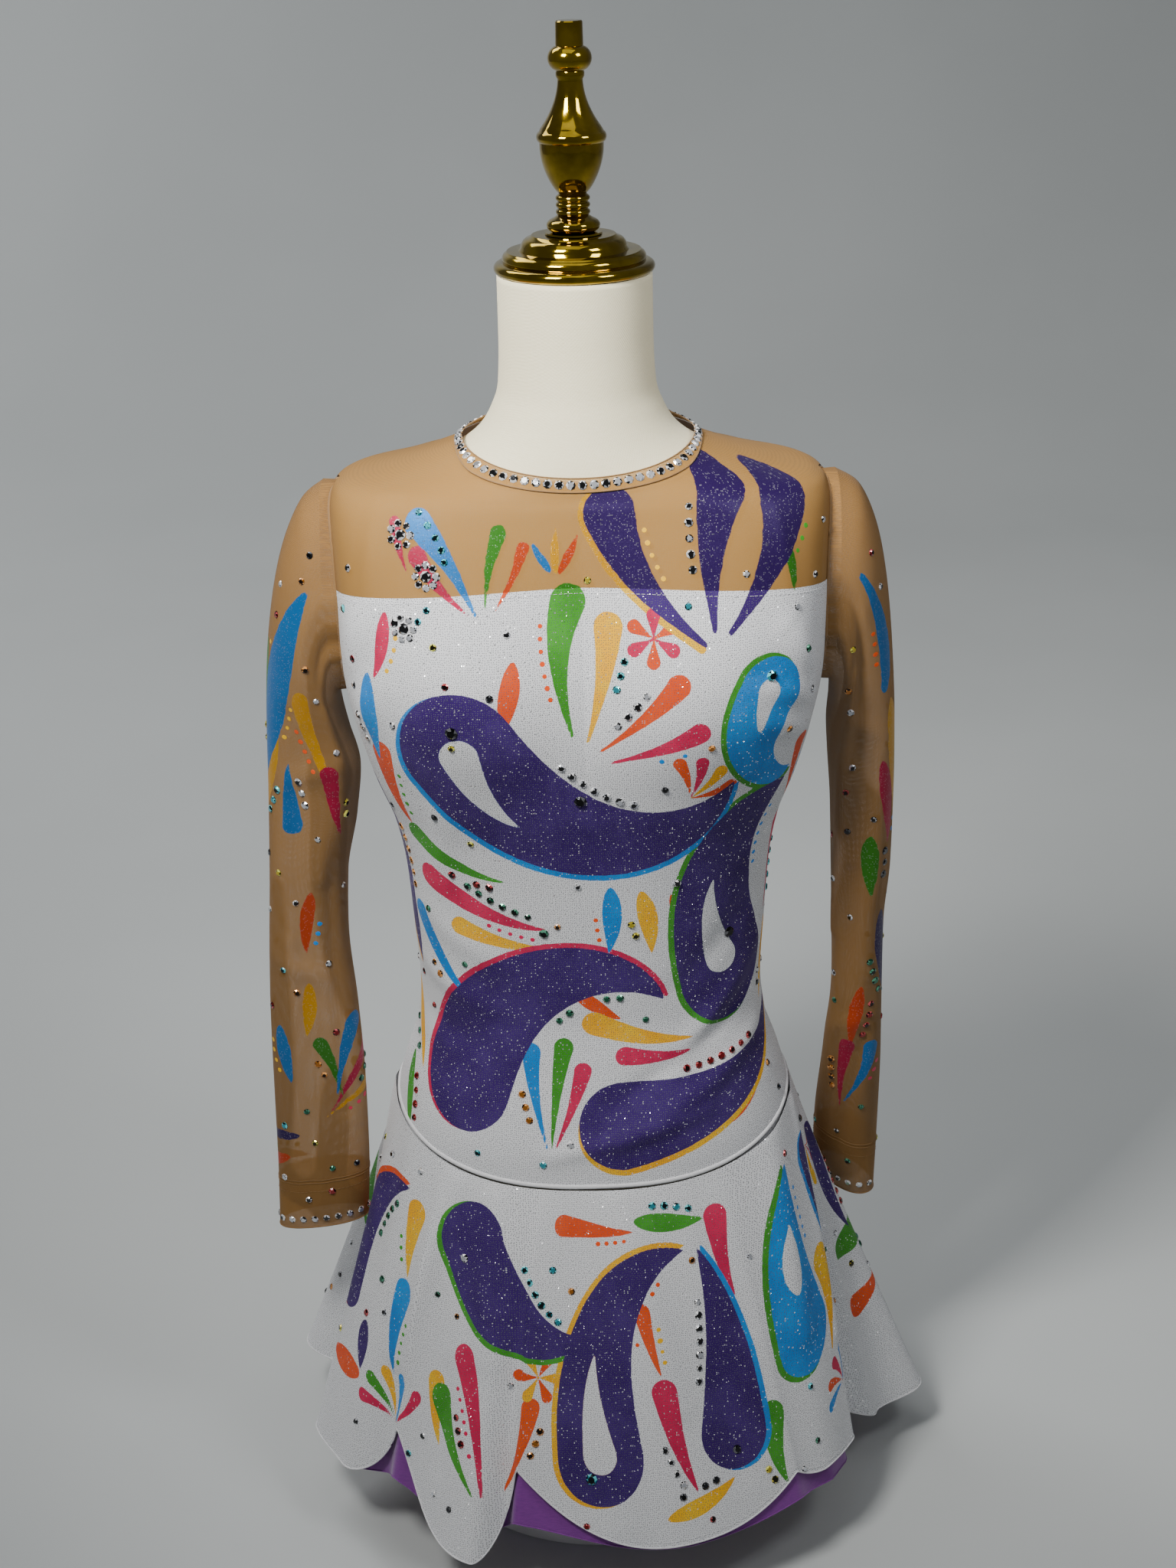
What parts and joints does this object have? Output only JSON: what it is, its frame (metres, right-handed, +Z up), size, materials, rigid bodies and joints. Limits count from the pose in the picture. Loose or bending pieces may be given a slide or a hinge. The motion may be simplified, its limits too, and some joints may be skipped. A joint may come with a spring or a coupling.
{
  "type": "figure skating dress on a dress form",
  "caption": "Long-sleeved figure skating dress with a flared scalloped skirt over a contrasting underskirt, worn on a limbless dress form.",
  "frame": {"origin": "middle of the underside of the form's round base", "axes": "+Z up along the form, -Y out of the dress's front, +X to the left of the person wearing it"},
  "size_m": [0.473, 0.4264, 1.0298],
  "materials": {
    "white_glitter_cloth": "white stretch cloth with a fine glitter dot, painted",
    "nude_mesh": "sheer nude stretch mesh",
    "violet_cloth": "violet stretch cloth",
    "white_piping": "white bound cord",
    "zip_tape": "woven tape",
    "ivory_linen": "ivory linen over the form",
    "polished_gold": "polished gold",
    "white_plastic": "white plastic"
  },
  "bodies": {
    "root": {"form_base": "white_plastic", "form_body": "ivory_linen", "form_cap": "polished_gold", "form_finial": "polished_gold", "bodice_front": "white_glitter_cloth", "bodice_back": "white_glitter_cloth", "yoke_front": "nude_mesh", "yoke_back": "nude_mesh", "neckband": "nude_mesh", "sleeve_right": "nude_mesh", "sleeve_left": "nude_mesh", "piping": "white_piping", "skirt": "white_glitter_cloth", "underskirt": "violet_cloth", "brief": "white_glitter_cloth", "back_zip": "zip_tape"}
  },
  "joints": []
}
